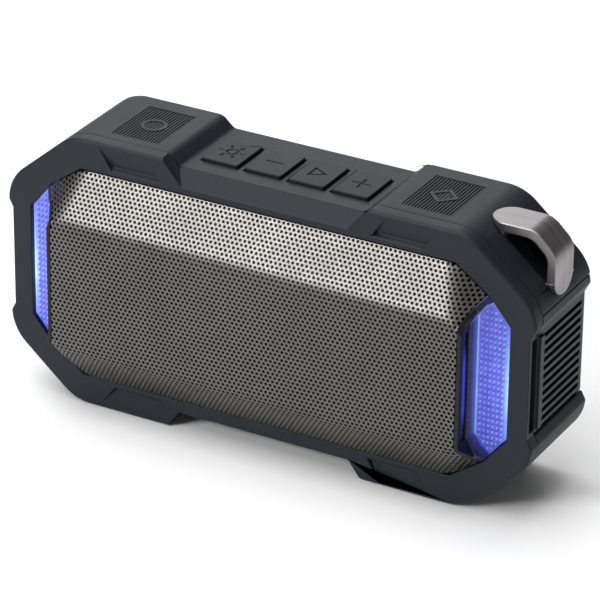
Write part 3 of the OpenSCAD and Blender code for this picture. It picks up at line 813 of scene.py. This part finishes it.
class SPEAKER_OT_mesh(Piece):
    """Punch, press and trim the front mesh"""

    bl_idname = "speaker.mesh"
    bl_label = "Front mesh"

    def make(self, s):
        p, r = s.pitch, s.hole / 2
        bpy.ops.object.select_all(action="DESELECT")
        # one hole: its rim, drawn out to a six-sided cell
        bpy.ops.mesh.primitive_circle_add(
            vertices=2 * CELL_SIDES, radius=r, fill_type="NOTHING",
            location=(0, 0, 0), rotation=(math.pi / 2, 0, 0),
        )
        cell = bpy.context.active_object
        bake_place(cell)
        edit(cell)
        bpy.ops.mesh.select_all(action="SELECT")
        bpy.ops.mesh.mark_seam()
        bpy.ops.mesh.extrude_edges_move()
        bpy.ops.mesh.mark_seam(clear=True)
        k = p / 2 / r
        bpy.ops.transform.resize(value=(k, k, k), center_override=(0, 0, 0))
        bpy.ops.mesh.select_mode(type="VERT")
        bpy.ops.mesh.select_all(action="DESELECT")
        bm = bmesh.from_edit_mesh(cell.data)
        for v in bm.verts:
            angle = math.degrees(math.atan2(v.co.z, v.co.x)) % (360 / CELL_SIDES)
            v.select = v.co.length > p * 0.45 and abs(angle - 30) < 5
        bm.select_flush_mode()
        bmesh.update_edit_mesh(cell.data)
        bpy.ops.transform.resize(value=(2 / 3**0.5,) * 3, center_override=(0, 0, 0))
        # its neighbour in the next row, half a pitch along
        rise = p * 3**0.5 / 2
        bpy.ops.mesh.select_all(action="SELECT")
        bpy.ops.mesh.duplicate()
        bpy.ops.transform.translate(value=(p / 2, 0, rise))
        bpy.ops.mesh.select_all(action="SELECT")
        columns = int(SHEET[0] * MM / p) // 2 * 2
        rows = int(SHEET[1] * MM / (2 * rise)) // 2 * 2
        bpy.ops.transform.translate(
            value=(-columns * p / 2, FACE_Y, MID - SHEET_DROP * MM - rows * rise)
        )
        leave()
        apply_modifier(
            cell, "ARRAY", count=columns, use_relative_offset=False, use_constant_offset=True,
            constant_offset_displace=(p, 0, 0), use_merge_vertices=True, merge_threshold=2e-6,
        )
        apply_modifier(
            cell, "ARRAY", count=rows, use_relative_offset=False, use_constant_offset=True,
            constant_offset_displace=(0, 0, 2 * rise), use_merge_vertices=True,
            merge_threshold=2e-6,
        )
        edit(cell)
        bpy.ops.mesh.select_all(action="SELECT")
        bpy.ops.mesh.remove_doubles(threshold=2e-6)
        leave()
        sheet = cell
        mid = MID * 1000
        # rows on the slopes close up as seen from the front, so they stay even along the metal
        for edge_z, squeeze in SLOPES:
            edit(sheet)
            bpy.ops.mesh.select_mode(type="VERT")
            bm = bmesh.from_edit_mesh(sheet.data)
            for v in bm.verts:
                v.select = (v.co.z * 1000 - mid - edge_z) * edge_z > 0
            bm.select_flush_mode()
            bmesh.update_edit_mesh(sheet.data)
            bpy.ops.transform.resize(
                value=(1, 1, squeeze), center_override=(0, 0, MID + edge_z * MM)
            )
            leave()
        # trim to the opening
        (top_x, top_z), (side_x, side_z) = OPENING
        for sx in (-1, 1):
            for sz in (-1, 1):
                run = Vector((sx * (side_x - top_x), 0, sz * (side_z - top_z)))
                n = Vector((-run.z, 0, run.x)) * (sx * sz)
                n = n.normalized() if n.z * sz > 0 else -n.normalized()
                point = Vector((sx * top_x, 0, mid + sz * top_z)) - n * OPENING_LAP
                cut(sheet, point, n, fill=False)
        for sz in (1, -1):
            cut(sheet, (0, 0, mid + sz * (top_z - OPENING_LAP)), (0, 0, sz), fill=False)
        bend_low, bend_high = SIDE_LINE[1][1], SIDE_LINE[2][1]
        for z in (-bend_high, -bend_low, bend_low, bend_high):
            edit(sheet)
            bpy.ops.mesh.select_all(action="SELECT")
            bpy.ops.mesh.bisect(plane_co=(0, 0, MID + z * MM), plane_no=(0, 0, 1), threshold=1e-7)
            leave()
        for sx in (-1, 1):
            for i in range(3):
                (x0, z0), (x1, z1) = SIDE_LINE[i], SIDE_LINE[i + 1]
                for sz in ((1,) if i == 0 else (-1, 1)):
                    edit(sheet)
                    over = SIDE_OVERRUN if i == 2 else 0
                    low, high = (-z1, z1) if i == 0 else sorted((sz * z0, sz * (z1 + over)))

                    def zone(c, n):
                        return low < c.z - mid < high and c.x * sx > 60

                    if not pick_faces(sheet, zone):
                        raise RuntimeError("the mesh has nothing to trim there")
                    n = Vector((sx * (z1 - z0), 0, -sz * (x1 - x0))).normalized()
                    bpy.ops.mesh.bisect(
                        plane_co=(sx * x0 * MM, 0, MID + sz * z0 * MM), plane_no=n,
                        clear_outer=True, threshold=1e-7,
                    )
                    leave()
        edit(sheet)
        bpy.ops.mesh.select_all(action="SELECT")
        bpy.ops.mesh.delete_loose(use_verts=True, use_edges=True, use_faces=False)
        bpy.ops.mesh.select_all(action="SELECT")
        bpy.ops.mesh.normals_make_consistent(inside=False)
        if pick_faces(sheet, lambda c, n: n.y > 0):
            bpy.ops.mesh.flip_normals()
        bpy.ops.mesh.select_all(action="SELECT")
        bpy.ops.transform.translate(value=(0, -10 * MM, 0))
        leave()
        # press it over the soft form
        form = copy_of("grille", "mesh_form")
        round_edges(
            form, lambda a, b, t: 8 < t < 60 and max(a.y, b.y) < -9.7 and min(a.y, b.y) < -17,
            s.bend, 5,
        )
        apply_modifier(
            sheet, "SHRINKWRAP", target=form, wrap_method="PROJECT",
            use_project_y=True, use_positive_direction=True, use_negative_direction=False,
        )
        bpy.data.objects.remove(form)
        # each hole's wall
        edit(sheet)
        bpy.ops.mesh.select_mode(type="EDGE")
        bm = bmesh.from_edit_mesh(sheet.data)
        for e in bm.edges:
            e.select = e.is_boundary
        bm.select_flush_mode()
        bmesh.update_edit_mesh(sheet.data)
        bpy.ops.mesh.extrude_edges_move()
        bpy.ops.transform.translate(value=(0, s.sheet, 0))
        leave()
        only(sheet)
        bpy.ops.object.shade_smooth_by_angle(angle=math.radians(40))
        edit(sheet)
        pick_faces(sheet, lambda c, n: c.x > 0)
        bpy.ops.mesh.separate(type="SELECTED")
        leave()
        halves = [o for o in bpy.context.selected_objects if o.type == "MESH"]
        for half in halves:
            right = sum(v.co.x for v in half.data.vertices) > 0
            half.name = half.data.name = "front_mesh_" + ("right" if right else "left")
            settle(half, FINISH["mesh_steel"], "grille")


def lens_outline(side):
    return [(side * x, z) for x, z in (
        (73.3, 19.4), (75.3, 23.2), (78.5, 25.8), (83.9, 19.1),
        (83.9, -19.1), (78.5, -25.8), (75.3, -23.2), (73.3, -19.4),
    )]


class SPEAKER_OT_lenses(Piece):
    """Mould the two lit lenses with their prisms, and the lit slits beside the mesh"""

    bl_idname = "speaker.lenses"
    bl_label = "Lights"

    def make(self, s):
        for side, sx in (("left", -1), ("right", 1)):
            plate = copy_of(f"lens_{side}", f"light_{side}")
            round_edges(plate, lambda a, b, t: t > 25, 0.45 * MM, 3)
            lo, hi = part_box(f"lens_{side}")
            border = 1.1 * MM
            step_x = (hi.x - lo.x - 2 * border) / s.prism_columns
            step_z = (hi.z - lo.z - 2 * border) / s.prism_rows
            bpy.ops.object.select_all(action="DESELECT")
            bpy.ops.mesh.primitive_cone_add(
                vertices=4, radius1=0.93 * step_x / 2**0.5, radius2=0.1 * MM, depth=0.7 * MM,
                end_fill_type="NGON", rotation=(math.pi / 2, math.pi / 4, 0),
                location=(0, 0, 0),
            )
            prism = bpy.context.active_object
            bake_place(prism)
            edit(prism)
            bpy.ops.mesh.select_all(action="SELECT")
            bpy.ops.transform.resize(
                value=(1, 1, step_z / step_x), center_override=(0, 0, 0)
            )
            bpy.ops.transform.translate(
                value=(lo.x + border + step_x / 2, lo.y - 0.2 * MM, lo.z + border + step_z / 2)
            )
            leave()
            apply_modifier(
                prism, "ARRAY", count=s.prism_columns, use_relative_offset=False,
                use_constant_offset=True, constant_offset_displace=(step_x, 0, 0),
            )
            apply_modifier(
                prism, "ARRAY", count=s.prism_rows, use_relative_offset=False,
                use_constant_offset=True, constant_offset_displace=(0, 0, step_z),
            )
            outline = lens_outline(sx)
            for i, (x0, z0) in enumerate(outline):
                x1, z1 = outline[(i + 1) % len(outline)]
                n = Vector((z1 - z0, 0, x0 - x1)).normalized()
                if n.dot(Vector((x0 - sx * 79, 0, z0))) < 0:
                    n = -n
                p = Vector((x0, 0, MID * 1000 + z0)) - n * 0.75
                cut(prism, p, n)
            obj = join([plate, prism], f"light_{side}")
            only(obj)
            bpy.ops.object.shade_smooth_by_angle(angle=math.radians(20))
            settle(obj, FINISH["lens_clear"], f"lens_{side}")
            slit = copy_of(f"light_guide_{side}", f"slit_light_{side}")
            round_edges(slit, sharp(30), 0.12 * MM, 2)
            smooth(slit)
            settle(slit, lit_slit("lit_slit", bpy.context.scene.speaker_colours.glow[:]),
                   f"light_guide_{side}")


class SPEAKER_OT_trim(Piece):
    """Mould the cheeks beside the mesh and the rims round the lights"""

    bl_idname = "speaker.trim"
    bl_label = "Cheeks and light rims"

    def make(self, s):
        for side in ("left", "right"):
            for node, finish, width in (
                (f"cheek_{side}", "trim_black", 0.25), (f"lens_frame_{side}", "frame_gloss", 0.3)
            ):
                obj = copy_of(node, node + "_trim")
                round_edges(obj, sharp(25), width * MM, 2)
                smooth(obj)
                settle(obj, FINISH[finish], node)


class SPEAKER_OT_strap(Piece):
    """Round the bends of the strap bar and brush it"""

    bl_idname = "speaker.strap"
    bl_label = "Strap bar"

    def make(self, s):
        obj = copy_of("strap_bar", "strap_bar_metal")

        def across(a, b):
            return near(a.x, b.x, 0.05) and near(a.z, b.z, 0.05) and abs(a.y - b.y) > 6

        round_edges(obj, lambda a, b, t: t > 12 and across(a, b), 2.6 * MM, 6)
        round_edges(obj, lambda a, b, t: t < -12 and across(a, b) and a.x > 80, 1.8 * MM, 6)
        round_edges(obj, lambda a, b, t: abs(t) > 30 and (a - b).length > 0.2, 0.5 * MM, 3)
        smooth(obj, 40)
        settle(obj, FINISH["bar_metal"], "strap_bar")


# ---------------------------------------------------------------- stage


class SPEAKER_OT_stage(bpy.types.Operator):
    """Lay the floor, hang the lights and set the camera"""

    bl_idname = "speaker.stage"
    bl_label = "Stage"

    def execute(self, context):
        scene = context.scene
        bpy.ops.object.select_all(action="DESELECT")
        bpy.ops.mesh.primitive_plane_add(size=8, location=(0, 0, -0.0002))
        floor = context.active_object
        floor.name = "studio_floor"
        t = Tree("pale_floor")
        speck = t.noise(30, 4, 0.6)
        t.set(
            Base_Color=t.mix(speck, (0.93, 0.93, 0.93), (0.97, 0.97, 0.97)),
            Roughness=t.spread(speck, 0.3, 0.7, 0.7, 0.85), Specular_IOR_Level=0.2,
        )
        floor.data.materials.append(t.mat)

        world = bpy.data.worlds.new("studio_air")
        scene.world = world
        world.use_nodes = True
        back = world.node_tree.nodes["Background"]
        back.inputs["Color"].default_value = (1, 1, 1, 1)
        back.inputs["Strength"].default_value = 0.16

        def softbox(name, place, size, glow):
            """Hangs a soft panel facing the speaker; glow is its brightness against white."""
            bpy.ops.object.light_add(type="AREA", location=place)
            lamp = context.active_object
            lamp.name = name
            lamp.data.shape = "RECTANGLE"
            lamp.data.size, lamp.data.size_y = size
            lamp.data.energy = 4 * glow * size[0] * size[1]
            aim = Vector((0, 0, MID)) - Vector(place)
            lamp.rotation_euler = aim.to_track_quat("-Z", "Y").to_euler()

        softbox("top_softbox", (-0.3, -0.1, 1.6), (2.0, 1.6), 2.45)
        softbox("back_softbox", (-1.02, 1.72, 1.05), (1.3, 1.1), 1.6)
        softbox("front_softbox", (-0.77, -1.41, 0.88), (0.6, 0.42), 19.0)

        data = bpy.data.cameras.new("camera")
        cam = bpy.data.objects.new("camera", data)
        scene.collection.objects.link(cam)
        look = Vector((-0.42586, 0.78068, -0.45736)).normalized()
        right = Vector((0.87521, 0.48362, 0.01058))
        right = (right - look * right.dot(look)).normalized()
        up = right.cross(look)
        turn = Matrix((right, up, -look)).transposed()
        cam.matrix_world = Matrix.Translation((0.5311, -0.9615, 0.6074)) @ turn.to_4x4()
        data.sensor_width = 36
        data.lens = 237.2
        data.shift_x, data.shift_y = -0.0072, 0.0244
        data.clip_start, data.clip_end = 0.05, 20
        scene.camera = cam
        scene.view_settings.view_transform = "Standard"
        return {"FINISHED"}


class SPEAKER_PT_panel(bpy.types.Panel):
    """The speaker's pieces, sizes and colours"""

    bl_label = "Shower speaker"
    bl_idname = "SPEAKER_PT_panel"
    bl_space_type = "VIEW_3D"
    bl_region_type = "UI"
    bl_category = "Speaker"

    def draw(self, context):
        col = self.layout.column(align=True)
        for step in STEPS:
            col.operator(step.bl_idname)
        for group in (context.scene.speaker_sizes, context.scene.speaker_colours):
            for name in type(group).__annotations__:
                col.prop(group, name)


STEPS = (
    SPEAKER_OT_finishes, SPEAKER_OT_covers, SPEAKER_OT_bezel, SPEAKER_OT_end_panels,
    SPEAKER_OT_rear, SPEAKER_OT_keys, SPEAKER_OT_mesh, SPEAKER_OT_lenses, SPEAKER_OT_trim,
    SPEAKER_OT_strap, SPEAKER_OT_stage,
)
CLASSES = (SpeakerSizes, SpeakerColours, *STEPS, SPEAKER_PT_panel)


def register():
    for cls in CLASSES:
        bpy.utils.register_class(cls)
    bpy.types.Scene.speaker_sizes = bpy.props.PointerProperty(type=SpeakerSizes)
    bpy.types.Scene.speaker_colours = bpy.props.PointerProperty(type=SpeakerColours)


def unregister():
    del bpy.types.Scene.speaker_sizes
    del bpy.types.Scene.speaker_colours
    for cls in reversed(CLASSES):
        bpy.utils.unregister_class(cls)


def main():
    register()
    for step in STEPS:
        group, name = step.bl_idname.split(".")
        result = getattr(getattr(bpy.ops, group), name)()
        if result != {"FINISHED"}:
            raise RuntimeError(f"{step.bl_idname} did not finish")
    bpy.context.view_layer.update()


if __name__ == "__main__":
    main()
